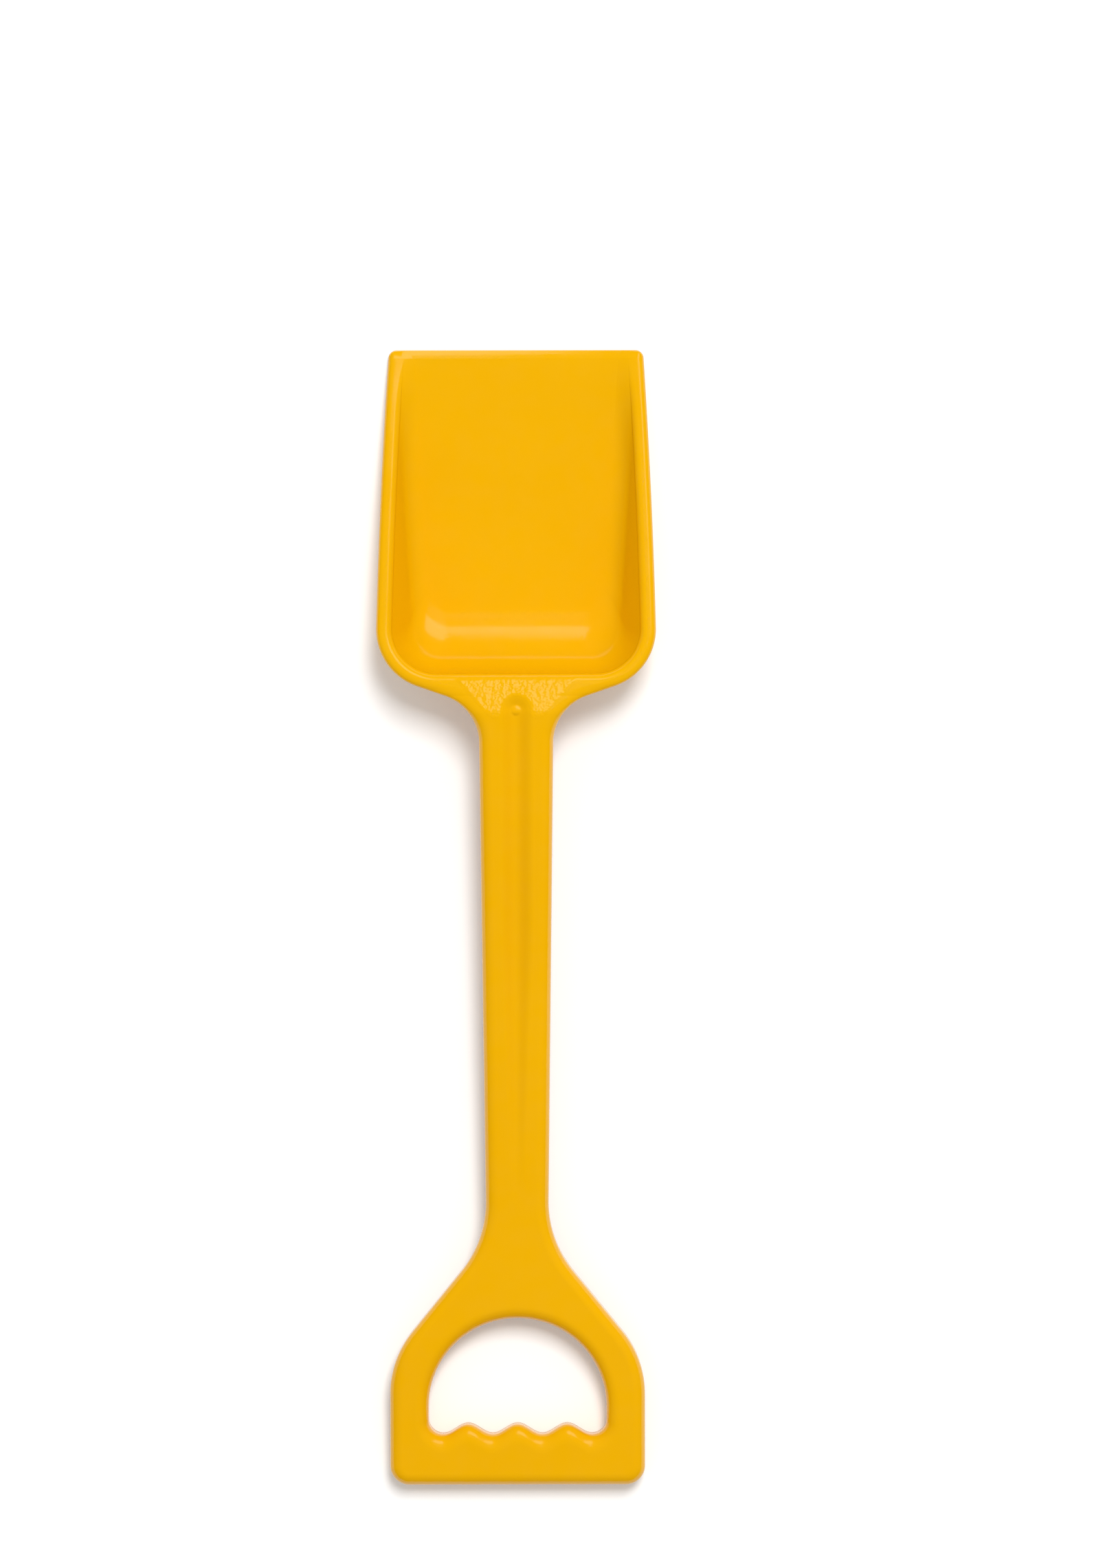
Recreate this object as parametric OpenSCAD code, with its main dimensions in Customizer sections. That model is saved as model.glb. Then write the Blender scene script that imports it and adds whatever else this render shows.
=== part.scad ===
// Moulded sand shovel: a deep scoop pan with a sloping rim, a fluted channel stem and a
// D handle with a finger grip. It lies on its back, face up, with the pan flat on the ground
// and the stem running straight from the ground at the handle's end up to the neck.
// X runs across, Y towards the lip and Z up, in millimetres.
// Positions named y are measured along the shovel from the end of the handle.

/* [Pan] */
// Length of the pan, from its back edge to the lip
pan_l = 124; // [105:1:150]
// Width over the rim where the back corners start
pan_w = 101; // [90:1:120]
// Width over the rim at the lip
lip_w = 93; // [82:1:110]
// Bow of the sides, in plan
side_bow = 0.5; // [0:0.1:2]
// Height of the rim over the back edge
rim_h = 28.5; // [22:0.5:36]
// Height of the rim over the pan's floor at the lip
lip_rise = 0.8; // [0.5:0.1:3]
// Width of the rim, seen from above
rim_w = 5.7; // [4.5:0.1:8]
// Thickness of the rim
rim_t = 3.1; // [2.9:0.1:4]
// Rounding of the rim's outer edge
rim_r = 2.2; // [1:0.1:2.4]
// Rounding of the rim's inner edge
rim_in_r = 1.5; // [0.5:0.1:1.8]
// Radius of the rim's back corners, in plan
corner_r = 22; // [18:1:28]
// Radius of the lip's corners, in plan
lip_r = 3; // [1:0.5:6]
// Length over which the floor sweeps up into the back wall
sweep_l = 22; // [14:1:30]
// Fillet between the floor and the side walls
side_r = 12; // [5:0.5:14]
// Lean of the side walls from upright
side_lean = 8; // [3:0.5:14]

/* [Neck] */
// Angle of the neck's shoulders to the pan's back edge
shoulder_a = 19; // [14:1:26]
// Radius of the neck's flare, in plan
flare_r = 18; // [12:1:22]
// Drop from the line of the stem's top to the rim at the pan's back edge
facet_drop = 2.2; // [1:0.1:4]
// Plain length of the neck before it flares
neck_lead = 3; // [2:0.5:10]

/* [Stem] */
// Length of the stem, from the throat of the handle to the neck
stem_l = 163; // [120:1:240]
// Width of the stem at the neck
neck_w = 26.8; // [25:0.2:32]
// Width of the stem at the throat of the handle
throat_w = 22.8; // [21:0.2:28]
// Depth of the stem and of the handle
stem_h = 12.5; // [10:0.5:18]
// Rounding along the face's edges
edge_r = 4.5; // [3:0.1:5]
// Width of the flute at the neck
flute_w = 12.6; // [9:0.2:14]
// Width of the flute at the throat of the handle
flute_throat_w = 5; // [3:0.2:9]
// Depth of the flute at the neck
flute_d = 2.2; // [1:0.1:3.5]
// Length over which the flute fades in from the throat
flute_fade_l = 100; // [40:5:120]
// Distance from the flute's round end to the pan's back edge
flute_gap = 1.2; // [0.5:0.1:4]
// Number of cross ribs in the stem's open back
stem_rib_n = 6; // [2:1:10]

/* [Handle] */
// Width of the handle
handle_w = 92.5; // [84:0.5:110]
// Height of the handle's straight sides
side_l = 33; // [28:1:45]
// Radius of the handle's shoulders, in plan
shoulder_r = 36; // [28:1:42]
// Radius of the throat, in plan
throat_r = 40; // [30:1:48]
// Angle at which the handle opens from the throat
yoke_a = 39; // [34:1:44]
// Radius of the two outer corners at the handle's end
heel_r = 5; // [5:0.5:10]
// Width of the hand opening
opening_w = 64.5; // [58:0.5:68]
// Distance from the handle's end to the centre of the opening's arch
arch_y = 28.5; // [26:0.5:34]
// Depth of the grip bar at the finger hollows
grip_d = 18.3; // [15:0.1:20]
// Number of bumps between the fingers
finger_n = 3; // [2:1:4]
// Height of the bumps between the fingers
finger_h = 3.7; // [2:0.1:5]
// Radius of the opening's two lower corners
nook_r = 5.25; // [4:0.25:7]
// Width of the rounding along the finger hollows
finger_r = 6.5; // [4.5:0.1:7.5]

/* [Wall] */
// Thickness of the walls
wall = 2.6; // [2:0.1:3]
// Thickness of the ribs
rib_t = 1.8; // [1.2:0.1:2.6]
// Height of the ribs' edges above the open back
rib_gap = 1.5; // [0.5:0.1:3]

/* [Hidden] */

// Pan and rim
pan_hw = pan_w / 2;
lip_hw = lip_w / 2;
flange_w = rim_w - wall;

// Rounding under the rim, and the least rounding of the lip's corners
rim_under_r = 0.5;
lip_turn = 0.3;

// Height of the rim at the lip, where its underside stays clear of the ground
rim_foot = 0.3;
lip_h = max(wall + lip_rise, rim_t + rim_foot);

// Fillet along the side walls, which leaves the floor's back corners a little roundness
floor_turn = 4;
fillet_r = min(side_r, corner_r - rim_w - floor_turn);

// Rounding of the rim at the neck's shoulders, which leaves some of the rim flat
rim_flat = 0.6;
shoulder_edge_r = min(edge_r, rim_w - rim_in_r - rim_flat);

// Shoulders and flare of the neck: a line at shoulder_a that touches the pan's corner
// and the flare's circle
neck_hw = neck_w / 2;
shoulder_x = pan_hw - corner_r * (1 - sin(shoulder_a));
shoulder_run = (shoulder_x + flare_r * sin(shoulder_a) - neck_hw - flare_r) / cos(shoulder_a);
flare_l = flare_r * cos(shoulder_a) + shoulder_run * sin(shoulder_a) - corner_r * (1 - cos(shoulder_a));

// Handle and throat: the heels keep a little roundness inside the edge's rounding, and the
// grip takes a short length of the limbs above its nooks
handle_hw = handle_w / 2;
throat_hw = throat_w / 2;
opening_hw = opening_w / 2;
heel_turn = 0.5;
heel = max(heel_r, edge_r + heel_turn);
yoke_run = (handle_hw - throat_hw - (shoulder_r + throat_r) * (1 - cos(yoke_a))) / sin(yoke_a);
yoke_l = (shoulder_r + throat_r) * sin(yoke_a) + yoke_run * cos(yoke_a);
grip_limb_l = 1;
grip_l = grip_d + nook_r + grip_limb_l;

// Places along the shovel
throat_y = side_l + yoke_l;
neck_y = throat_y + stem_l;
flare_y = neck_y + neck_lead;
pan_y = flare_y + flare_l;
lip_y = pan_y + pan_l;
shoulder_y = pan_y + corner_r * (1 - cos(shoulder_a));
flute_y = pan_y - flute_gap - flute_w / 2;

// The stem's slope, from the ground at the handle's end to the neck
stem_slope = (rim_h + facet_drop - stem_h) / pan_y;
rim_slope = (rim_h - lip_h) / pan_l;

// Crease where the stem's top meets the plane of the rim
crease_y = pan_y - facet_drop / (stem_slope + rim_slope);

// Numbers of equal steps on the round parts. The rim's inner edge has as many points as its
// outer edge and underside together. The yoke's two bends have as many points as its arch,
// which the two halves close with one step more.
edge_n = 5;
rim_in_n = edge_n + 3;
sweep_n = 6;
lip_n = 3;
side_n = 6;
corner_n = 8;
flare_n = 8;
bend_n = 8;
heel_n = 4;
arch_n = 2 * bend_n + 1;
arch_a = 90 * arch_n / (arch_n + 1 / 2);
flute_n = 6;
flute_cols = [for (i = [-flute_n:flute_n]) i / flute_n];

// Draft of the ribs' sides and fillet inside the open back
rib_draft = 0.4;
back_r = min(edge_r - wall, rib_gap / 2);

// Points on an arc, from angle a to angle b in n steps
function arc(centre, r, a, b, n) =
    [for (i = [0:n]) let(t = a + (b - a) * i / n) centre + r * [cos(t), sin(t)]];

function reversed(list) = [for (i = [len(list) - 1:-1:0]) list[i]];

// A right half, followed by its mirror image in reverse order
function both_sides(half) = concat(half, [for (p = reversed(half)) [-p.x, p.y]]);

// Pairs of inset and drop that round an edge of radius r, or of another radius in its height
function round_over(r, drop_r) =
    [for (i = [0:edge_n]) let(a = 90 * i / edge_n) [r * (1 - cos(a)), drop_r * (1 - sin(a))]];

// Lines across a list of rings, one for each place on the rings
function lines_across(rings) = [for (i = [0:len(rings[0]) - 1]) [for (r = rings) r[i]]];

function clamp01(t) = max(0, min(1, t));
function ease(t) = let(u = clamp01(t)) u * u * (3 - 2 * u);

// Height of the stem's lower edge, of the rim and of the face of stem and neck
function ground(y) = stem_slope * y;
function rim_z(y) = rim_h - rim_slope * (y - pan_y);
function face_z(y) = min(ground(y) + stem_h, rim_z(y));

// Thin-walled solid between an outer and an inner skin. A skin is a list of lines of equal
// length, one for each station of the sweep. A floored shell is closed by a floor along the
// first points of its lines, and any other by a narrow edge there.
module shell(outer, inner, floored = false) {
    stations = len(outer);
    n = len(outer[0]);
    last = stations - 1;
    function out(k, i) = 2 * k * n + i;
    function in(k, i) = (2 * k + 1) * n + i;
    function quad(a, b, c, d) = [[a, b, c], [a, c, d]];
    skins = [for (k = [0:last - 1], i = [0:n - 2]) each concat(
        quad(out(k, i), out(k + 1, i), out(k + 1, i + 1), out(k, i + 1)),
        quad(in(k, i), in(k, i + 1), in(k + 1, i + 1), in(k + 1, i)))];
    ends = [for (i = [0:n - 2]) each concat(
        quad(out(0, i), out(0, i + 1), in(0, i + 1), in(0, i)),
        quad(out(last, i), in(last, i), in(last, i + 1), out(last, i + 1)))];
    last_edge = [for (k = [0:last - 1])
        each quad(in(k, n - 1), out(k, n - 1), out(k + 1, n - 1), in(k + 1, n - 1))];
    first_edge = [for (k = [0:last - 1]) each quad(out(k, 0), in(k, 0), in(k + 1, 0), out(k + 1, 0))];
    floor_faces = concat(
        [[for (k = [last:-1:0]) out(k, 0)], [for (k = [0:last]) in(k, 0)]],
        quad(out(0, 0), in(0, 0), in(last, 0), out(last, 0)));
    polyhedron(
        [for (k = [0:last]) each concat(outer[k], inner[k])],
        concat(skins, ends, last_edge, floored ? floor_faces : first_edge));
}

// The model's origin is on the ground under the middle of the shovel
module placed() {
    color("#f2b200") translate([0, -lip_y / 2, 0]) children();
}

// Stem and neck: channel sections across the shovel, open below

// Half the width of the stem and neck
function half_w(y) =
    y <= flare_y ? throat_hw + (neck_hw - throat_hw) * (y - throat_y) / (flare_y - throat_y)
    : y <= flare_y + flare_r * cos(shoulder_a)
        ? neck_hw + flare_r - sqrt(flare_r ^ 2 - (y - flare_y) ^ 2)
        : shoulder_x - (shoulder_y - y) / tan(shoulder_a);

// How much wider an edge's rounding and wall are when measured across the shovel
function slant(y) =
    let(dy = max(0, y - flare_y))
    dy < flare_r * cos(shoulder_a) ? flare_r / sqrt(flare_r ^ 2 - dy ^ 2) : 1 / sin(shoulder_a);

// Flute along the middle of the face, with a round end at the neck
function flute_fade(y) = clamp01((y - throat_y) / flute_fade_l);
function flute_hw(y) = (flute_throat_w + (flute_w - flute_throat_w) * flute_fade(y)) / 2;
function flute_z(x, y) =
    let(past_end = max(0, y - flute_y) / (flute_w / 2))
    let(reach = min(1, norm([x / flute_hw(y), past_end])))
    flute_d * flute_fade(y) * (1 + cos(180 * reach)) / 2;

// Along the flare the rounding gets as low as the rim's, and the side walls' lower edges rise
// to the underside of the rim
function flare_part(y) = (y - flare_y) / flare_l;
function face_drop_r(y) = edge_r + (rim_r - edge_r) * ease(flare_part(y));
function skirt_z(y) = ground(y) + (rim_z(y) - rim_t - ground(y)) * ease(2 * flare_part(y) - 1);

// Line over a channel from left to right: half width w, top z, edges rounded
function channel_line(y, w, z, r, drop_r, low, fluted) =
    let(edge = [for (s = round_over(r, drop_r)) [w - slant(y) * s[0], y, z - s[1]]])
    concat(
        [[-w, y, low]],
        [for (p = edge) [-p.x, y, p.z]],
        [for (c = flute_cols) let(x = c * flute_hw(y)) [x, y, z - (fluted ? flute_z(x, y) : 0)]],
        reversed(edge),
        [[w, y, low]]);

function channel_outside(y) =
    channel_line(y, half_w(y), face_z(y), edge_r, face_drop_r(y), skirt_z(y), true);

// The channel's inside, or the edge of a rib across it
function channel_inside(y, ribbed) =
    let(low = skirt_z(y), roof = ribbed ? ground(y) + rib_gap : face_z(y) - wall)
    let(r = min(back_r, (roof - low) / 2))
    channel_line(y, half_w(y) - wall * slant(y), roof, r, r, low, !ribbed);

// Places across a rib's thickness, each with whether the rib is there
function rib_cuts(centre) =
    let(foot = rib_t / 2 + rib_draft, tip = rib_t / 2)
    [[centre - foot, false], [centre - tip, true], [centre + tip, true], [centre + foot, false]];

module channel(cuts) {
    shell([for (c = cuts) channel_outside(c[0])], [for (c = cuts) channel_inside(c[0], c[1])]);
}

module stem() placed() {
    channel(concat(
        [[throat_y, false]],
        [for (i = [1:stem_rib_n]) each rib_cuts(throat_y + stem_l * i / (stem_rib_n + 1))],
        [[neck_y, false]]));
}

module neck() placed() {
    flare = [for (i = [0:flare_n]) flare_y + flare_r * sin((90 - shoulder_a) * i / flare_n)];
    before = [for (y = flare) if (y < crease_y) y];
    after = [for (y = flare) if (y > crease_y) y];
    channel([for (y = concat([neck_y], before, [crease_y], after, [pan_y])) [y, false]]);
}

// Pan: rings that follow the rim's outline, set in from it

// Run of a side wall that leaves the floor through a fillet and then leans outwards
function side_run(h, r) =
    let(knee = r * (1 - sin(side_lean)))
    h < knee ? sqrt(r ^ 2 - (r - h) ^ 2) : r * cos(side_lean) + (h - knee) * tan(side_lean);

// Rounding of the rim's inner edge, which dies away at the lip
function rim_in(y) = min(rim_in_r, (rim_z(y) - wall) / 2);

// Half the width over the rim along the sides
function side_x(y) =
    let(share = (lip_y - lip_r - y) / (pan_l - lip_r - corner_r))
    lip_hw + (pan_hw - lip_hw) * share + 4 * side_bow * max(0, share * (1 - share));

// Places along a side, closer together at the lip
function side_places(corner_y) =
    [for (i = [1:side_n - 1]) lip_y - lip_r + (corner_y - lip_y + lip_r) * (i / side_n) ^ 1.5];

// Right half of a ring: round the lip's corner, along the side and round the back corner to a
// point on the back. The back corner's distance inside the rim's outline changes along it.
function half_ring(lip_in, side, corner_y, side_in, corner_in, back_end) =
    let(turn = max(lip_r - lip_in, lip_turn))
    concat(
        arc([lip_hw - lip_in - turn, lip_y - turn], turn, 90, 0, lip_n),
        side,
        [for (i = [0:corner_n])
            let(a = (shoulder_a - 90) * i / corner_n)
            let(r = corner_r - side_in - (corner_in - side_in) * ease(i / corner_n))
            [pan_hw - corner_r, corner_y] + r * [cos(a), sin(a)]],
        [back_end]);

// The pan's two skins: top of the wall, and its distance inside the rim's outline at a share f
// of the way up from the base
function skin_base(inside) = inside ? wall : 0;
function skin_in(inside) = inside ? rim_w : flange_w;
function skin_top(y, inside) = rim_z(y) - (inside ? rim_in(y) : rim_t);
function wall_in(y, f, inside) =
    let(h = skin_top(y, inside) - skin_base(inside))
    let(r = inside ? fillet_r : fillet_r + wall)
    skin_in(inside) + side_run(h, r) - side_run(f * h, r);

// Ring on a wall, at an angle a of the sweep up its back
function wall_ring(a, inside) =
    let(f = 1 - cos(a), base = skin_base(inside))
    let(run = inside ? sweep_l : sweep_l + wall)
    let(back_in = skin_in(inside) + run * (1 - sin(a)))
    let(side_in = wall_in(pan_y + corner_r, f, inside))
    let(corner_y = pan_y + back_in + corner_r - side_in)
    let(side = [for (y = side_places(corner_y)) [side_x(y) - wall_in(y, f, inside), y]])
    let(back_end = [pan_hw - corner_r, pan_y + back_in])
    let(half = half_ring(wall_in(lip_y, f, inside), side, corner_y, side_in, side_in, back_end))
    [for (p = both_sides(half)) [p.x, p.y, base + f * (skin_top(p.y, inside) - base)]];

// Ring at a distance inside the rim's outline, and at another where it meets the neck's end
function flange_ring(inset, corner_in, neck_in, gap) =
    let(side = [for (y = side_places(pan_y + corner_r)) [side_x(y) - inset, y]])
    let(back_end = [half_w(pan_y) - neck_in * slant(pan_y), pan_y])
    let(half = half_ring(inset, side, pan_y + corner_r, inset, corner_in, back_end))
    [for (p = both_sides(half)) [p.x, p.y, rim_z(p.y) - gap]];

// Ring on the rim's inner edge, at an angle a of its rounding
function rim_ring(a) =
    let(turn_in = 1 - cos(a), inset = rim_w - turn_in * rim_in_r)
    let(side = [for (y = side_places(pan_y + corner_r)) [side_x(y) - rim_w + turn_in * rim_in(y), y]])
    let(lip_in = rim_w - turn_in * rim_in(lip_y), back_end = [pan_hw - corner_r, pan_y + inset])
    let(half = half_ring(lip_in, side, pan_y + corner_r, inset, inset, back_end))
    [for (p = both_sides(half)) [p.x, p.y, rim_z(p.y) - rim_in(p.y) * (1 - sin(a))]];

module scoop_pan() placed() {
    sweep = [for (i = [0:sweep_n]) 90 * i / sweep_n];
    rim_edge = [for (i = [0:edge_n]) let(a = 90 * i / edge_n) [1 - cos(a), 1 - sin(a)]];
    outside = concat(
        [for (a = sweep) wall_ring(a, false)],
        [flange_ring(rim_under_r, rim_under_r, rim_under_r, rim_t)],
        [flange_ring(0, 0, 0, rim_t - rim_under_r)],
        [for (s = rim_edge)
            flange_ring(s[0] * rim_r, s[0] * shoulder_edge_r, s[0] * edge_r, s[1] * rim_r)]);
    inside = concat(
        [for (a = sweep) wall_ring(a, true)],
        [for (i = [1:rim_in_n]) rim_ring(90 * i / rim_in_n)]);
    shell(lines_across(outside), lines_across(inside), floored = true);
}

// Handle: sections from the hand opening to the outline, on the stem's slope

// Outline of the yoke from its right limb over the throat to its left, set in by d, and by
// end_in at the throat
function yoke_outline(d, end_in) =
    let(end_a = 180 + asin(end_in / (throat_r + d)))
    both_sides(concat(
        [[handle_hw - d, grip_l]],
        arc([handle_hw - shoulder_r, side_l], shoulder_r - d, 0, yoke_a, bend_n),
        arc([throat_hw + throat_r, throat_y], throat_r + d, 180 + yoke_a, end_a, bend_n)));

// Arch of the hand opening, grown by d
function yoke_arch(d) =
    both_sides(concat([[opening_hw + d, grip_l]], arc([0, arch_y], opening_hw + d, 0, arch_a, arch_n)));

// Places along the grip between its two nooks, each with whether a rib is there. A rib stands
// behind each bump.
nook_x = opening_hw - nook_r;
nook_y = grip_d + nook_r;
finger_pitch = 2 * nook_x / finger_n;
finger_half_n = 4;
finger_step = finger_pitch / 2 / finger_half_n;
grip_cuts = [for (i = [0:finger_n - 1])
    let(bump = (i + 1 / 2) * finger_pitch - nook_x)
    let(last_step = i < finger_n - 1 ? finger_half_n : finger_half_n - 1)
    each concat(
        [for (k = [1 - finger_half_n:-1]) [bump + k * finger_step, false]],
        rib_cuts(bump),
        [for (k = [1:last_step]) [bump + k * finger_step, false]])];
function finger_y(x) = grip_d + finger_h * (1 - cos(360 * (x + nook_x) / finger_pitch)) / 2;

// A path round the bottom of the D, from its left limb to its right. The radius of its corners
// changes from the limb to the bar.
function grip_path(limb_x, corner, limb_r, bar_r, along) =
    let(turn = [for (i = [0:heel_n])
        let(a = 360 - 90 * i / heel_n)
        corner + (limb_r + (bar_r - limb_r) * i / heel_n) * [cos(a), sin(a)]])
    concat(
        [[-limb_x, grip_l]],
        [for (p = turn) [-p.x, p.y]],
        along,
        reversed(turn),
        [[limb_x, grip_l]]);

// The grip's outline, set in by d, and its edge, set back by d at the limbs and by finger_d
// along the finger hollows
function grip_outline(d) =
    grip_path(handle_hw - d, [handle_hw - heel, heel], heel - d, heel - d, [for (c = grip_cuts) [c[0], d]]);
function grip_edge(d, finger_d) =
    grip_path(opening_hw + d, [nook_x, nook_y], nook_r + d, nook_r + finger_d,
        [for (c = grip_cuts) [c[0], finger_y(c[0]) - finger_d]]);

function on_slope(points, z) = [for (p = points) [p.x, p.y, z + ground(p.y)]];

// Points a drop under a roof that has its own height at each of them
function under_roof(points, roofs, drop) =
    [for (i = [0:len(points) - 1]) [points[i].x, points[i].y, roofs[i] - drop + ground(points[i].y)]];

module handle_yoke() placed() {
    face = round_over(edge_r, edge_r);
    back = round_over(back_r, back_r);
    roof = stem_h - wall;
    outside = concat(
        [on_slope(yoke_arch(0), 0)],
        [for (s = face) on_slope(yoke_arch(s[0]), stem_h - s[1])],
        [for (s = reversed(face)) on_slope(yoke_outline(s[0], 0), stem_h - s[1])],
        [on_slope(yoke_outline(0, 0), 0)]);
    inside = concat(
        [on_slope(yoke_arch(wall), 0)],
        [for (s = back) on_slope(yoke_arch(wall + s[0]), roof - s[1])],
        [for (s = reversed(back)) on_slope(yoke_outline(wall + s[0], wall + s[0]), roof - s[1])],
        [on_slope(yoke_outline(wall, wall), 0)]);
    shell(lines_across(outside), lines_across(inside));
}

module finger_grip() placed() {
    face = round_over(edge_r, edge_r);
    back = round_over(back_r, back_r);
    limb = [for (i = [0:heel_n + 1]) false];
    ribbed = concat(limb, [for (c = grip_cuts) c[1]], limb);
    roofs = [for (rib = ribbed) rib ? rib_gap : stem_h - wall];
    outside = concat(
        [on_slope(grip_edge(0, 0), 0)],
        [for (s = face) on_slope(grip_edge(s[0], s[0] * finger_r / edge_r), stem_h - s[1])],
        [for (s = reversed(face)) on_slope(grip_outline(s[0]), stem_h - s[1])],
        [on_slope(grip_outline(0), 0)]);
    inside = concat(
        [on_slope(grip_edge(wall, wall), 0)],
        [for (s = back) under_roof(grip_edge(wall + s[0], wall + s[0]), roofs, s[1])],
        [for (s = reversed(back)) under_roof(grip_outline(wall + s[0]), roofs, s[1])],
        [on_slope(grip_outline(wall), 0)]);
    shell(lines_across(outside), lines_across(inside));
}

scoop_pan();
neck();
stem();
handle_yoke();
finger_grip();
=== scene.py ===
# Looks of a moulded sand shovel that lies on its back, seen from straight above.
# Shapes are worked out in millimetres and written to the meshes in metres. Positions named y run
# along the shovel, from the handle's end to the lip of the pan. Other sizes end in what they are:
# w width, hw half a width, l length, h height, d depth, t thickness, r radius, a angle in degrees
# and n count.
import math

import bmesh
import bpy
import numpy as np
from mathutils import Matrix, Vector


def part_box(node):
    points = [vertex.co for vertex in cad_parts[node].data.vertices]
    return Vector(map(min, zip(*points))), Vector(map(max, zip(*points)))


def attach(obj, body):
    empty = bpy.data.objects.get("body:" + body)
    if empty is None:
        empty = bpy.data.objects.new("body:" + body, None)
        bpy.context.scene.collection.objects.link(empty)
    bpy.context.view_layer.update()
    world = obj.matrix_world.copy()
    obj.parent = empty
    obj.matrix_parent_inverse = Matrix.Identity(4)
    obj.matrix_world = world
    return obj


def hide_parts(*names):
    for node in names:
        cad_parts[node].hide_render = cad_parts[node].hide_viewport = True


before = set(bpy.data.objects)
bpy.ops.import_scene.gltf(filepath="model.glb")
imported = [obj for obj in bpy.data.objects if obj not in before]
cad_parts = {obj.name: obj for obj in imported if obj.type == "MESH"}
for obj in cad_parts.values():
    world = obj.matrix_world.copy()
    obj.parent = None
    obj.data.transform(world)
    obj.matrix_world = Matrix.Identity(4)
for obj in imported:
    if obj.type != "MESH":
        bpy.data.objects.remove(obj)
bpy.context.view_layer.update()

MM = 0.001


# Places and sizes read from the nodes in model.glb

def node_corners(name):
    """Lowest and highest corner of a node, in millimetres."""
    return [np.array(corner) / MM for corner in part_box(name)]


pan_low, pan_high = node_corners("scoop_pan")
stem_low, stem_high = node_corners("stem")
grip_low, grip_high = node_corners("finger_grip")

end_y = grip_low[1]
grip_y = grip_high[1]
throat_y = stem_low[1]
neck_y = stem_high[1]
pan_y = pan_low[1]
lip_y = pan_high[1]
rim_h = pan_high[2]
pan_hw = pan_high[0]
handle_hw = grip_high[0]
shoulder_end_hw = node_corners("neck")[1][0]

# Pan
lip_hw = 46.5
side_bow = 0.5
rim_w = 5.7
rim_t = 3.1
rim_r = 2.2
rim_in_r = 2.4
rim_under_r = 0.5
rim_foot = 0.3
corner_r = 22.0
lip_r = 3.0
lip_turn = 0.3
lip_run = 1.5
lip_edge_share = 0.12
melt_w = 13.0
melt_l = 45.0
sweep_l = 26.8
floor_turn = 4.0
side_r = 8.0
side_lean = math.radians(25.0)

# Neck and stem
shoulder_a = 19.0
flare_r = 18.0
neck_lead = 3.0
neck_hw = 13.4
throat_hw = 11.4
stem_h = 12.5
edge_r = 4.5
shoulder_edge_r = 3.2
crease_soft = 0.25
flute_w = 12.6
flute_throat_w = 5.0
flute_d = 2.2
flute_fade_l = 100.0
flute_gap = 1.2
gate_r = 1.9
gate_h = 0.7
stem_rib_n = 6

# Facet of the neck, which the mould left rougher. Its lean is a slope.
facet_l = 10.7
facet_back = 4.7
facet_tip_hw = 9.2
facet_hw = 23.0
facet_fade = 1.5
facet_lean = 0.15

# Handle
side_y = end_y + 33.0
shoulder_r = 36.0
throat_r = 40.0
yoke_a = 39.0
heel_r = 7.0
opening_hw = 32.25
arch_y = end_y + 28.5
grip_d = 18.3
finger_n = 3
finger_h = 3.7
finger_r = 6.5
nook_r = 5.25

# Walls and ribs of the open back
wall = 2.6
back_r = 1.4
foot_r = 0.7
rib_t = 1.8
rib_gap = 1.5
rib_seat = 0.2

# Edges that turn by more than this stay sharp
sharp_a = 38.0

# Finish of the plastic. A scale is the number of waves of its noise in a metre.
yellow_low = (0.9, 0.45, 0.0004, 1)
yellow_high = (0.92, 0.465, 0.0006, 1)
drift_scale = 14.0
drift_range = (0.35, 0.65)
scuff_scale = 160.0
scuff_range = (0.3, 0.7)
rough_range = (0.1, 0.17)
grain_scale = 900.0
grain_d = 0.2
grain_strength = 0.12
stipple_scale = 620.0
stipple_d = 0.28
plastic_ior = 1.5
plastic_specular = 0.45

# Values that follow from these
lip_h = rim_t + rim_foot
flange_w = rim_w - wall
rim_slope = (rim_h - lip_h) / (lip_y - pan_y)
stem_slope = stem_low[2] / (throat_y - end_y)
flare_y = neck_y + neck_lead
flare_end_y = flare_y + flare_r * math.cos(math.radians(shoulder_a))
shoulder_lean = math.tan(math.radians(shoulder_a))
shoulder_slant = 1 / math.sin(math.radians(shoulder_a))
flute_end_y = pan_y - flute_gap - flute_w / 2
nook_x = opening_hw - nook_r
nook_y = end_y + grip_d + nook_r
finger_pitch = 2 * nook_x / finger_n
rib_h = stem_h - wall - rib_gap + rib_seat


# Lines and skins

def quarter(steps):
    """Angles of a quarter turn, in radians."""
    return np.radians(np.linspace(0, 90, steps + 1))


def arc(centre, radius, start, end, steps):
    """Points in plan on an arc between two angles in degrees."""
    turn = np.radians(np.linspace(start, end, steps + 1))
    return np.column_stack([centre[0] + radius * np.cos(turn), centre[1] + radius * np.sin(turn)])


def line(start, end, steps):
    """Points in plan on a straight line."""
    return np.linspace(start, end, steps + 1)


def both_sides(half):
    """A right half, followed by its mirror image in reverse order."""
    return np.vstack([half, half[::-1] * [-1, 1]])


def evenly(path, count):
    """Points at equal distances along a path."""
    reach = np.concatenate([[0], np.cumsum(np.linalg.norm(np.diff(path, axis=0), axis=1))])
    places = np.linspace(0, reach[-1], count)
    return np.column_stack([np.interp(places, reach, path[:, i]) for i in (0, 1)])


def ease(t):
    """Smooth step from 0 to 1."""
    share = np.clip(t, 0, 1)
    return share * share * (3 - 2 * share)


def ground(y):
    """Height of the lower edge of stem and handle."""
    return stem_slope * (y - end_y)


def rim_z(y):
    """Height of the rim's plane."""
    return rim_h - rim_slope * (y - pan_y)


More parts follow.
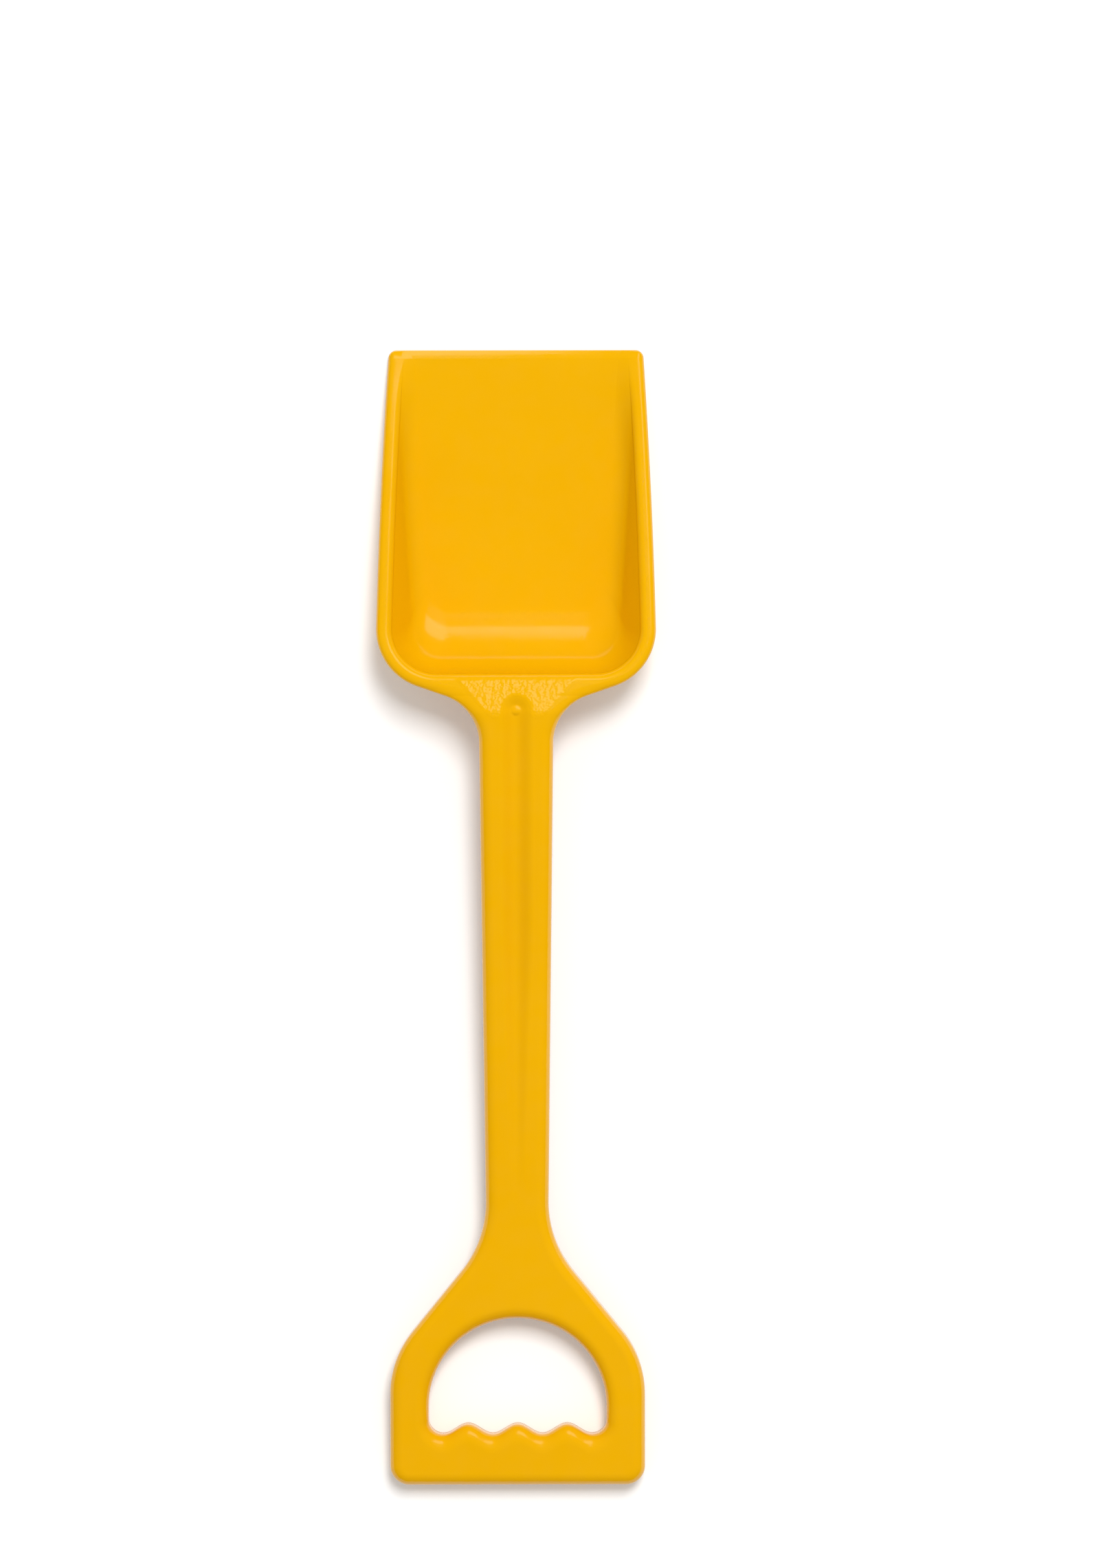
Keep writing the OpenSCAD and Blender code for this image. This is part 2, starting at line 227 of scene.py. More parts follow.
def rib_middle(y):
    """Height of the middle of a rib in the open back."""
    return ground(y) + rib_gap + rib_h / 2


def handle_top(y):
    """Height of the face of the handle."""
    return ground(y) + stem_h


def face_z(y):
    """Height of the face of stem and neck, with a soft crease where it meets the rim's plane."""
    stem, rim = handle_top(y), rim_z(y)
    return (stem + rim - np.hypot(stem - rim, crease_soft)) / 2


def grid_faces(ids):
    """Four-sided faces over a grid of point numbers."""
    corners = (ids[:-1, :-1], ids[1:, :-1], ids[1:, 1:], ids[:-1, 1:])
    return np.stack(corners, axis=-1).reshape(-1, 4).tolist()


def moulded(name, points, faces):
    """Object made of closed faces that point outwards. Points are in millimetres."""
    mesh = bpy.data.meshes.new(name)
    mesh.from_pydata((points.reshape(-1, 3) * MM).tolist(), [], faces)
    form = bmesh.new()
    form.from_mesh(mesh)
    bmesh.ops.recalc_face_normals(form, faces=form.faces)
    form.to_mesh(mesh)
    form.free()
    piece = bpy.data.objects.new(name, mesh)
    bpy.context.scene.collection.objects.link(piece)
    return piece


def made_plain(piece):
    """Turns what the modifiers make into the piece's own mesh, smooth but for its sharp edges."""
    bpy.context.view_layer.update()
    evaluated = piece.evaluated_get(bpy.context.evaluated_depsgraph_get())
    mesh = bpy.data.meshes.new_from_object(evaluated)
    piece.modifiers.clear()
    piece.data = mesh
    mesh.name = piece.name
    mesh.shade_smooth()
    mesh.set_sharp_from_angle(angle=math.radians(sharp_a))


# Channels: stem, neck, yoke and grip are one wall bent round a hollow that is open below

FACE_STEPS = 12
FOOT_STEPS = 4
BACK_STEPS = 6
COLUMNS = 40


def on(plan, z):
    """Points in plan, lifted to a height for each."""
    return np.column_stack([plan, z])


def mixed(first, last, steps):
    """Rings between two rings, without those two."""
    return [first + (last - first) * t for t in np.linspace(0, 1, steps + 1)[1:-1]]


def outer_side(edge, low_z, top_z, drop_r, foot):
    """Rings up the outside of an edge, from its foot to the face."""
    rings = []
    for a in quarter(FOOT_STEPS):
        plan = edge(foot * (1 - np.sin(a)), False)
        rings.append(on(plan, low_z(plan[:, 1]) + foot * (1 - np.cos(a))))
    for a in quarter(FACE_STEPS):
        plan = edge(edge_r * (1 - np.cos(a)), False)
        rings.append(on(plan, top_z(plan[:, 1]) - drop_r * (1 - np.sin(a))))
    return rings


def inner_side(edge, low_z, top_z, back, foot):
    """Rings up the inside of an edge, from its foot to the underside of the face."""
    rings = []
    for a in quarter(FOOT_STEPS):
        plan = edge(wall - foot * (1 - np.sin(a)), True)
        rings.append(on(plan, low_z(plan[:, 1]) + foot * (1 - np.cos(a))))
    for a in quarter(BACK_STEPS):
        plan = edge(wall + back * (1 - np.cos(a)), True)
        rings.append(on(plan, top_z(plan[:, 1]) - wall - back * (1 - np.sin(a))))
    return rings


def channel(name, edges, low_z, top_z, drop_r=edge_r, back=back_r, foot=foot_r, columns=COLUMNS):
    """Channel between two edges. An edge gives its line in plan at a depth inside the moulding.
    The rounding of its face is edge_r wide and drop_r high."""
    first, last = [outer_side(edge, low_z, top_z, drop_r, foot) for edge in edges]
    first_in, last_in = [inner_side(edge, low_z, top_z, back, foot) for edge in edges]
    rings = first + mixed(first[-1], last[-1], columns) + last[::-1]
    rings += last_in + mixed(last_in[-1], first_in[-1], columns) + first_in[::-1]
    points = np.array(rings)
    ids = np.arange(points.shape[0] * points.shape[1]).reshape(points.shape[:2])
    ring_round = np.vstack([ids, ids[:1]])
    faces = grid_faces(ring_round) + [ids[:, 0].tolist(), ids[::-1, -1].tolist()]
    return moulded(name, points, faces)


# Stem and neck

STEM_STATIONS = 110
NECK_STATIONS = 100
FLUTED_COLUMNS = 64


def half_w(y):
    """Half the width of stem and neck."""
    straight = throat_hw + (neck_hw - throat_hw) * (y - throat_y) / (flare_y - throat_y)
    rise = np.clip(y - flare_y, 0, flare_end_y - flare_y)
    flare = neck_hw + flare_r - np.sqrt(flare_r ** 2 - rise ** 2)
    shoulder = shoulder_end_hw - (pan_y - y) / shoulder_lean
    return np.where(y <= flare_y, straight, np.where(y <= flare_end_y, flare, shoulder))


def slant(y):
    """How much wider a depth inside the edge is when measured straight across."""
    rise = np.clip(y - flare_y, 0, flare_end_y - flare_y)
    return flare_r / np.sqrt(flare_r ** 2 - rise ** 2)


def flare_part(y):
    """Share of the flare that lies before a place."""
    return (y - flare_y) / (pan_y - flare_y)


def skirt_z(y):
    """Lower edge of the side walls, which rise to the underside of the rim along the flare."""
    return ground(y) + (rim_z(y) - rim_t - ground(y)) * ease(2 * flare_part(y) - 1)


def straight_channel(name, y):
    """Channel whose stations lie straight across the shovel."""
    def edge(side):
        return lambda depth, inside: np.column_stack([side * (half_w(y) - slant(y) * depth), y])

    room = face_z(y) - wall - skirt_z(y)
    back = np.minimum(back_r, room / 2)
    foot = np.minimum(foot_r, room / 3)
    drop_r = edge_r + (rim_r - edge_r) * ease(flare_part(y))
    return channel(name, (edge(-1), edge(1)), skirt_z, face_z, drop_r, back, foot, FLUTED_COLUMNS)


def make_stem():
    """Stem from the throat to the neck."""
    return straight_channel("stem_channel", np.linspace(throat_y, neck_y, STEM_STATIONS))


def make_neck():
    """Flared neck, up to the back of the pan."""
    return straight_channel("neck_flare", np.linspace(neck_y, pan_y, NECK_STATIONS))


# Handle

LIMB_STEPS = 5
SHOULDER_STEPS = 20
RUN_STEPS = 14
THROAT_STEPS = 24
HEEL_STEPS = 16
FINGER_STEPS = 24
ARCH_STEPS = 256


def yoke_outline(depth, inside):
    """Outline of the yoke from its right limb over the throat to its left. The hollow inside
    stops short of the throat."""
    end_in = depth if inside else 0
    end_a = 180 + math.degrees(math.asin(end_in / (throat_r + depth)))
    shoulder_at = (handle_hw - shoulder_r, side_y)
    throat_at = (throat_hw + throat_r, throat_y)
    shoulder = arc(shoulder_at, shoulder_r - depth, 0, yoke_a, SHOULDER_STEPS)
    throat = arc(throat_at, throat_r + depth, 180 + yoke_a, end_a, THROAT_STEPS)
    limb = line((handle_hw - depth, grip_y), shoulder[0], LIMB_STEPS)
    run = line(shoulder[-1], throat[0], RUN_STEPS)
    return both_sides(np.vstack([limb[:-1], shoulder[:-1], run[:-1], throat]))


def yoke_arch(depth, inside):
    """Arch over the hand opening, with as many points as the outline. Each half stops half a step
    short of the middle."""
    count = LIMB_STEPS + SHOULDER_STEPS + RUN_STEPS + THROAT_STEPS + 1
    half_step = 45 / count
    bow = arc((0, arch_y), opening_hw + depth, 0, 90 - half_step, ARCH_STEPS)
    return both_sides(evenly(np.vstack([[(opening_hw + depth, grip_y)], bow]), count))


def make_yoke():
    """Fork from the throat to the two limbs."""
    return channel("yoke_fork", (yoke_arch, yoke_outline), ground, handle_top)


def grip_path(limb_x, corner, limb_r, bar_r, along):
    """Path round the bottom of the handle, from its left limb to its right. The radius of its
    corners changes from the limb to the bar."""
    turn = np.radians(np.linspace(360, 270, HEEL_STEPS + 1))
    radius = np.linspace(limb_r, bar_r, HEEL_STEPS + 1)
    right = np.column_stack([corner[0] + radius * np.cos(turn), corner[1] + radius * np.sin(turn)])
    limb = line((limb_x, grip_y), right[0], LIMB_STEPS)
    half = np.vstack([limb[:-1], right])
    return np.vstack([half * [-1, 1], along, half[::-1]])


def grip_places():
    """Places along the grip between its two nooks."""
    return np.linspace(-nook_x, nook_x, FINGER_STEPS * finger_n + 1)[1:-1]


def finger_y(x):
    """Edge of the grip, with a bump between the fingers."""
    return end_y + grip_d + finger_h * (1 - np.cos(2 * np.pi * (x + nook_x) / finger_pitch)) / 2


def grip_edge(depth, inside):
    """Edge of the grip in the hand opening. Its rounding is wider along the finger hollows."""
    x = grip_places()
    finger_in = depth if inside else depth * finger_r / edge_r
    along = np.column_stack([x, finger_y(x) - finger_in])
    nook = (nook_x, nook_y)
    return grip_path(opening_hw + depth, nook, nook_r + depth, nook_r + finger_in, along)


def grip_outline(depth, inside):
    """Outline of the bottom of the handle."""
    x = grip_places()
    along = np.column_stack([x, np.full_like(x, end_y + depth)])
    heel = (handle_hw - heel_r, end_y + heel_r)
    return grip_path(handle_hw - depth, heel, heel_r - depth, heel_r - depth, along)


def make_grip():
    """Grip bar with the lower ends of the limbs."""
    return channel("finger_bar", (grip_edge, grip_outline), ground, handle_top)


# Pan: rings from the floor up the inside, over the rim and down the outside

LIP_STEPS = 8
SIDE_STEPS = 40
CORNER_STEPS = 36
SWEEP_STEPS = 32
RIM_STEPS = 10
FLANGE_STEPS = 4
corner_angles = np.linspace(0, -90, CORNER_STEPS + 1)
shoulder_turn = shoulder_a - 90


def side_x(y):
    """Half the width over the rim along the sides, which bow out a little."""
    share = (lip_y - lip_r - y) / (lip_y - lip_r - pan_y - corner_r)
    return lip_hw + (pan_hw - lip_hw) * share + 4 * side_bow * np.maximum(0, share * (1 - share))


def half_ring(lip_in, side_in, corner_y, corner_in, wider=0.0):
    """Right half of a ring: round the lip's corner, along the side and round the back corner, which
    may be wider than its distance from the outline makes it. Points crowd towards the lip."""
    turn = max(lip_r - lip_in, lip_turn)
    lip = arc((lip_hw - lip_in - turn, lip_y - turn), turn, 90, 0, LIP_STEPS)
    share = (np.arange(1, SIDE_STEPS) / SIDE_STEPS) ** 2
    y = lip_y - lip_r + (corner_y - lip_y + lip_r) * share
    turn_to = np.radians(corner_angles)
    radius = corner_r - corner_in + wider
    x_back = pan_hw - corner_r - wider + radius * np.cos(turn_to)
    corner = np.column_stack([x_back, corner_y + radius * np.sin(turn_to)])
    return np.vstack([lip, np.column_stack([side_x(y) - side_in(y), y]), corner])


def rim_in(y):
    """Rounding of the rim's inner edge, which dies away at the lip."""
    return np.minimum(rim_in_r, (rim_z(y) - wall) / 2)


def side_run(height, radius):
    """Run of a side wall that leaves the floor through a fillet and then leans outwards."""
    knee = radius * (1 - math.sin(side_lean))
    bend = np.sqrt(np.maximum(0, radius ** 2 - (radius - height) ** 2))
    straight = radius * math.cos(side_lean) + (height - knee) * math.tan(side_lean)
    return np.where(height < knee, bend, straight)


def wall_rings(top_in, radius, run, base, top_z):
    """Rings up a wall whose top stands a distance inside the rim's outline."""
    rings = []
    for a in quarter(SWEEP_STEPS):
        share = 1 - math.cos(a)

        def side_in(y):
            height = top_z(y) - base
            return top_in + side_run(height, radius) - side_run(share * height, radius)

        back_in = top_in + run * (1 - math.sin(a))
        corner_in = side_in(pan_y + corner_r)
        wider = floor_turn * (1 - share)
        corner_y = pan_y + back_in + corner_r - corner_in + wider
        plan = both_sides(half_ring(side_in(lip_y), side_in, corner_y, corner_in, wider))
        rings.append(on(plan, base + share * (top_z(plan[:, 1]) - base)))
    return rings


def rim_ring(a):
    """Ring on the rim's inner edge, at an angle of its rounding."""
    def inset(y):
        return rim_w - rim_in(y) * (1 - math.cos(a))

    corner_y = pan_y + corner_r
    plan = both_sides(half_ring(inset(lip_y), inset, corner_y, inset(corner_y)))
    return on(plan, rim_z(plan[:, 1]) - rim_in(plan[:, 1]) * (1 - math.sin(a)))


def flange_ring(inset, shoulder_in, neck_in, gap):
    """Ring inside the rim's outline that leaves the back corner to meet the end of the neck. Its
    distance from the outline changes round the corner and again up to the neck."""
    corner_in = inset + (shoulder_in - inset) * ease(corner_angles / shoulder_turn)
    half = half_ring(inset, lambda y: np.full_like(y, inset), pan_y + corner_r, corner_in)
    corner = half[-len(corner_angles):]
    past = corner_angles < shoulder_turn
    share = ((shoulder_turn - corner_angles) / shoulder_a)[past][:, None]
    turn = math.radians(shoulder_turn)
    radius = corner_r - shoulder_in
    centre = np.array([pan_hw - corner_r, pan_y + corner_r])
    leave = centre + radius * np.array([math.cos(turn), math.sin(turn)])
    meet = np.array([shoulder_end_hw - neck_in * shoulder_slant, pan_y])
    corner[past] = leave + share * (meet - leave)
    plan = both_sides(half)
    return on(plan, rim_z(plan[:, 1]) - gap)


def melted(ring):
    """A ring of the inside, moved so that the rim melts into the floor towards the lip."""
    x, y, z = ring.T
    inset = side_x(y) - np.abs(x)
    soft_z = wall + (rim_z(y) - wall) * ease((melt_w - inset) / (melt_w - rim_r))
    share = ease((y - lip_y + melt_l) / melt_l)
    return np.column_stack([x, y, z + share * (soft_z - z)])


def rolled(points):
    """The pan's points, drawn in towards half the wall's height to round the edge of the lip."""
    x, y, z = np.moveaxis(points, -1, 0)
    near = np.clip(1 - (lip_y - y) / lip_run, 0, 1)
    share = np.maximum(np.sqrt(1 - near ** 2), lip_edge_share)
    return np.stack([x, y, wall / 2 + (z - wall / 2) * share], axis=-1)


def make_pan():
    """Pan as one skin of rings, closed by its floor inside and out and by the edge of the lip."""
    rings = wall_rings(rim_w, side_r, sweep_l, wall, lambda y: rim_z(y) - rim_in(y))
    rings += [rim_ring(a) for a in quarter(RIM_STEPS)[1:]]
    rings = [melted(ring) for ring in rings]
    over = []
    for a in quarter(RIM_STEPS):
        turn_in, drop = 1 - math.sin(a), rim_r * (1 - math.cos(a))
        over.append(flange_ring(rim_r * turn_in, shoulder_edge_r * turn_in, edge_r * turn_in, drop))
    rings += [melted(ring) for ring in mixed(rings[-1], over[0], FLANGE_STEPS)] + over
    for a in quarter(FOOT_STEPS):
        inset = rim_under_r * (1 - math.cos(a))
        rings.append(flange_ring(inset, inset, inset, rim_t - rim_under_r * (1 - math.sin(a))))
    rings += wall_rings(flange_w, side_r + wall, sweep_l + wall, 0, lambda y: rim_z(y) - rim_t)[::-1]
    points = rolled(np.array(rings))
    ids = np.arange(points.shape[0] * points.shape[1]).reshape(points.shape[:2])
    half = ids.shape[1] // 2
    faces = grid_faces(ids)
    for floor in (ids[0], ids[-1][::-1]):
        faces += grid_faces(np.stack([floor[:half], floor[:half - 1:-1]]))
    front = ids[:, 0].tolist() + ids[::-1, -1].tolist()
    return moulded("pan_scoop", points, faces + [front])


# Nodes

def node(tree, kind, inputs=(), **settings):
    """Adds a node. Its inputs are values or other nodes' outputs, by name or in order."""
    made = tree.nodes.new(kind)
    for name, value in settings.items():
        setattr(made, name, value)
    named = inputs.items() if isinstance(inputs, dict) else enumerate(inputs)
    for key, value in named:
        if isinstance(value, bpy.types.NodeSocket):
            tree.links.new(value, made.inputs[key])
        else:
            made.inputs[key].default_value = value
    return made


def math_of(tree, operation, *inputs):
    """Result of a sum on numbers."""
    return node(tree, "ShaderNodeMath", inputs, operation=operation).outputs[0]


def vector_of(tree, operation, *inputs):
    """Result of a sum on vectors."""
    return node(tree, "ShaderNodeVectorMath", inputs, operation=operation).outputs["Vector"]


def combined(tree, x, y, z):
    """Vector made of three numbers."""
    return node(tree, "ShaderNodeCombineXYZ", [x, y, z]).outputs[0]


def length_of(tree, vector):
    """Length of a vector."""
    return node(tree, "ShaderNodeVectorMath", [vector], operation="LENGTH").outputs["Value"]


def between(tree, value, start, end, low, high):
    """Maps a value from one range to another and stops at its ends."""
    return node(tree, "ShaderNodeMapRange", [value, start, end, low, high]).outputs[0]


# Geometry Nodes: the flute and the ribs

def sized_tree(name, sizes):
    """Geometry Nodes tree with a named input for each size, its inputs and its output socket."""
    tree = bpy.data.node_groups.new(name, "GeometryNodeTree")
    tree.interface.new_socket("Geometry", in_out="INPUT", socket_type="NodeSocketGeometry")
    for size, kind in sizes.items():
        tree.interface.new_socket(size, in_out="INPUT", socket_type=kind)
    tree.interface.new_socket("Geometry", in_out="OUTPUT", socket_type="NodeSocketGeometry")
    return tree, node(tree, "NodeGroupInput").outputs, node(tree, "NodeGroupOutput").inputs[0]


def end_tree(tree, geometry, plastic, result):
    """Makes what a tree has placed real and gives it the plastic."""
    real = node(tree, "GeometryNodeRealizeInstances", {"Geometry": geometry})
    dressed = node(tree, "GeometryNodeSetMaterial", {"Geometry": real.outputs[0], "Material": plastic})
    tree.links.new(dressed.outputs[0], result)


def apply_tree(piece, tree, values):
    """Puts a tree on a piece with its sizes, which are set before the piece is evaluated."""
    modifier = piece.modifiers.new(tree.name, "NODES")
    modifier.node_group = tree
    for item in tree.interface.items_tree:
        if item.in_out == "INPUT" and item.name in values:
            modifier[item.identifier] = values[item.name]


def flute_tree():
    """Sinks a groove along the middle of the face, which fades in from the throat and has a
    round end at the neck, with the low dome of the gate mark in it."""
    length = "NodeSocketFloat"
    tree, size, result = sized_tree("flute", {
        "Throat Place": length, "Full Depth Place": length, "Round End Place": length,
        "Throat Half Width": length, "Half Width": length, "Depth": length,
        "Gate Radius": length, "Gate Height": length, "Plastic": "NodeSocketMaterial"})
    position = node(tree, "GeometryNodeInputPosition").outputs[0]
    x, y, _ = node(tree, "ShaderNodeSeparateXYZ", [position]).outputs
    beyond = math_of(tree, "SUBTRACT", y, size["Round End Place"])

    fade = between(tree, y, size["Throat Place"], size["Full Depth Place"], 0.0, 1.0)
    half = between(tree, fade, 0.0, 1.0, size["Throat Half Width"], size["Half Width"])
    across = math_of(tree, "DIVIDE", x, half)
    along = math_of(tree, "DIVIDE", math_of(tree, "MAXIMUM", beyond, 0.0), size["Half Width"])
    reach = math_of(tree, "MINIMUM", length_of(tree, combined(tree, across, along, 0.0)), 1.0)
    swing = math_of(tree, "COSINE", math_of(tree, "MULTIPLY", reach, math.pi))
    hollow = math_of(tree, "MULTIPLY", math_of(tree, "ADD", swing, 1.0), 0.5)
    sink = math_of(tree, "MULTIPLY", math_of(tree, "MULTIPLY", hollow, fade), size["Depth"])

    apart = math_of(tree, "DIVIDE", length_of(tree, combined(tree, x, beyond, 0.0)), size["Gate Radius"])
    dome = math_of(tree, "SUBTRACT", 1.0, math_of(tree, "POWER", apart, 2.0))
    lift = math_of(tree, "MULTIPLY", math_of(tree, "MAXIMUM", dome, 0.0), size["Gate Height"])

    shift = combined(tree, 0.0, 0.0, math_of(tree, "SUBTRACT", lift, sink))
    moved = node(tree, "GeometryNodeSetPosition", {"Geometry": size["Geometry"], "Offset": shift})
    end_tree(tree, moved.outputs[0], size["Plastic"], result)
    return tree


def rib_tree():
    """Adds a straight row of ribs, whose size changes evenly from the first to the last."""
    vector = "NodeSocketVector"
    tree, size, result = sized_tree("rib_row", {
        "Ribs": "NodeSocketInt", "First Place": vector, "Step": vector,
        "First Size": vector, "Last Size": vector, "Plastic": "NodeSocketMaterial"})
    places = {"Count": size["Ribs"], "Start Location": size["First Place"], "Offset": size["Step"]}
    row = node(tree, "GeometryNodeMeshLine", places, mode="OFFSET")
    index = node(tree, "GeometryNodeInputIndex").outputs[0]
    share = between(tree, index, 0.0, math_of(tree, "SUBTRACT", size["Ribs"], 1.0), 0.0, 1.0)
    change = vector_of(tree, "SUBTRACT", size["Last Size"], size["First Size"])
    grown = vector_of(tree, "MULTIPLY", change, share)
    rib = node(tree, "GeometryNodeMeshCube", {"Size": (1, 1, 1)})
    ribs = node(tree, "GeometryNodeInstanceOnPoints", {
        "Points": row.outputs[0], "Instance": rib.outputs[0],
        "Scale": vector_of(tree, "ADD", size["First Size"], grown)})
    joined = node(tree, "GeometryNodeJoinGeometry")
    for part in (ribs.outputs[0], size["Geometry"]):
        tree.links.new(part, joined.inputs[0])
    end_tree(tree, joined.outputs[0], size["Plastic"], result)
    return tree


def in_metres(*sizes):
    """Sizes in millimetres as a vector in metres."""
    return tuple(size * MM for size in sizes)


def flute_sizes(plastic):
    """Inputs of the flute's tree, which are the same for stem and neck."""
    return {
        "Throat Place": throat_y * MM, "Full Depth Place": (throat_y + flute_fade_l) * MM,
        "Round End Place": flute_end_y * MM, "Throat Half Width": flute_throat_w / 2 * MM,
        "Half Width": flute_w / 2 * MM, "Depth": flute_d * MM,
        "Gate Radius": gate_r * MM, "Gate Height": gate_h * MM, "Plastic": plastic}


def stem_rib_sizes(plastic):
    """Ribs across the stem, evenly spaced between the throat and the neck."""
    step = (neck_y - throat_y) / (stem_rib_n + 1)
    first_y, last_y = throat_y + step, neck_y - step

    def rib_size(y):
        return in_metres(2 * (half_w(y) - wall + rib_seat), rib_t, rib_h)

    return {
        "Ribs": stem_rib_n, "First Place": in_metres(0, first_y, rib_middle(first_y)),
        "Step": in_metres(0, step, step * stem_slope), "First Size": rib_size(first_y),
        "Last Size": rib_size(last_y), "Plastic": plastic}


def grip_rib_sizes(plastic):
    """Ribs along the grip's hollow, one behind each bump."""
    first_x = finger_pitch / 2 - nook_x
    deepest = grip_d + finger_h
    middle_y = end_y + deepest / 2
    size = in_metres(rib_t, deepest - 2 * (wall - rib_seat), rib_h)
    return {
        "Ribs": finger_n, "First Place": in_metres(first_x, middle_y, rib_middle(middle_y)),
        "Step": in_metres(finger_pitch, 0, 0), "First Size": size, "Last Size": size,
        "Plastic": plastic}


# Material

def noise(tree, place, scale, detail):
    """Soft noise on the object's own coordinates."""
    return node(tree, "ShaderNodeTexNoise", {"Vector": place, "Scale": scale, "Detail": detail}).outputs[0]


def facet_share(tree, place):
    """How much of the neck's facet, which the flute's round end cuts into, lies at a place."""
    x, y, _ = node(tree, "ShaderNodeSeparateXYZ", [place]).outputs
    start, end = (pan_y - facet_l) * MM, (pan_y + facet_back) * MM
    soft, flute_hw = facet_fade * MM, flute_w / 2 * MM
    before = between(tree, y, start, start + soft, 0.0, 1.0)
    after = between(tree, y, end - soft, end, 1.0, 0.0)
    half = between(tree, y, start, end, facet_tip_hw * MM, facet_hw * MM)
    past = math_of(tree, "SUBTRACT", math_of(tree, "ABSOLUTE", x), half)
    within = between(tree, past, -soft, 0.0, 1.0, 0.0)
    beyond = math_of(tree, "MAXIMUM", math_of(tree, "SUBTRACT", y, flute_end_y * MM), 0.0)
    reach = length_of(tree, combined(tree, x, beyond, 0.0))
    beside = between(tree, reach, flute_hw - soft, flute_hw, 0.0, 1.0)
    along = math_of(tree, "MULTIPLY", before, after)
    return math_of(tree, "MULTIPLY", along, math_of(tree, "MULTIPLY", within, beside))


def moulding_colour(tree, place):
    """Yellow that drifts a little over the moulding."""
    ramp = node(tree, "ShaderNodeValToRGB", {"Fac": noise(tree, place, drift_scale, 3.0)})
    for stop, at, colour in zip(ramp.color_ramp.elements, drift_range, (yellow_low, yellow_high)):
        stop.position = at
        stop.color = colour
    return ramp.outputs[0]


def moulding_roughness(tree, place):
    """Semi-gloss, made uneven by faint scuffs."""
    return between(tree, noise(tree, place, scuff_scale, 4.0), *scuff_range, *rough_range)


def moulding_normal(tree, place):
    """Fine grain all over and a coarse stipple on the facet, whose shading leans to the lip."""
    facet = facet_share(tree, place)
    lean = combined(tree, 0.0, math_of(tree, "MULTIPLY", facet, facet_lean), 0.0)
    normal = node(tree, "ShaderNodeNewGeometry").outputs["Normal"]
    leaned = vector_of(tree, "NORMALIZE", vector_of(tree, "ADD", normal, lean))
    grain = node(tree, "ShaderNodeBump", {
        "Strength": grain_strength, "Distance": grain_d * MM,
        "Height": noise(tree, place, grain_scale, 2.0), "Normal": leaned})
    rise = math_of(tree, "MULTIPLY", noise(tree, place, stipple_scale, 1.0), facet)
    stipple = node(tree, "ShaderNodeBump", {
        "Strength": 1.0, "Distance": stipple_d * MM, "Height": rise, "Normal": grain.outputs[0]})
    return stipple.outputs[0]


def yellow_moulding():
    """Semi-gloss plastic, coloured through."""
    material = bpy.data.materials.new("yellow_moulding")
    material.use_nodes = True
    tree = material.node_tree
    finish = tree.nodes["Principled BSDF"].inputs
    place = node(tree, "ShaderNodeTexCoord").outputs["Object"]
    tree.links.new(moulding_colour(tree, place), finish["Base Color"])
    tree.links.new(moulding_roughness(tree, place), finish["Roughness"])
    tree.links.new(moulding_normal(tree, place), finish["Normal"])
    finish["IOR"].default_value = plastic_ior
    finish["Specular IOR Level"].default_value = plastic_specular
    return material


# Stage, in metres

floor_half = 3.0
floor_drop = 0.0003
floor_grey = (0.9, 0.9, 0.9, 1)
floor_roughness = 0.9
floor_specular = 0.1
floor_lift = 0.17
white = (1, 1, 1, 1)
sky_strength = 0.43
lamp_target = (0.0, 0.05, 0.0)


def floor_white():
    """Pale floor that shows white to the eye and keeps the shadow."""
    material = bpy.data.materials.new("floor_white")
    material.use_nodes = True
    tree = material.node_tree
    finish = tree.nodes["Principled BSDF"].inputs
    finish["Base Color"].default_value = floor_grey
    finish["Roughness"].default_value = floor_roughness
    finish["Specular IOR Level"].default_value = floor_specular
    finish["Emission Color"].default_value = white
    ray = node(tree, "ShaderNodeLightPath").outputs
    seen = math_of(tree, "ADD", ray["Is Camera Ray"], ray["Is Glossy Ray"])
    seen = math_of(tree, "ADD", seen, ray["Is Transmission Ray"])
    lift = math_of(tree, "MULTIPLY", math_of(tree, "MINIMUM", seen, 1.0), floor_lift)
    tree.links.new(lift, finish["Emission Strength"])
    return material


def make_floor():
    """Floor just under the shovel."""
    mesh = bpy.data.meshes.new("floor")
    sides = [(-1, -1), (1, -1), (1, 1), (-1, 1)]
    corners = [(x * floor_half, y * floor_half, -floor_drop) for x, y in sides]
    mesh.from_pydata(corners, [], [(0, 1, 2, 3)])
    mesh.materials.append(floor_white())
    floor = bpy.data.objects.new("floor", mesh)
    bpy.context.scene.collection.objects.link(floor)


def softbox(name, place, size, power, glossy):
    """Rectangular lamp that points at the shovel. It either shows as gloss or lights it unseen."""
    lamp = bpy.data.lights.new(name, "AREA")
    lamp.shape = "RECTANGLE"
    lamp.size, lamp.size_y = size
    lamp.energy = power
    light = bpy.data.objects.new(name, lamp)
    light.location = place
    light.rotation_euler = (Vector(lamp_target) - Vector(place)).to_track_quat("-Z", "Y").to_euler()
    light.visible_glossy = glossy
    light.visible_diffuse = not glossy
    bpy.context.scene.collection.objects.link(light)


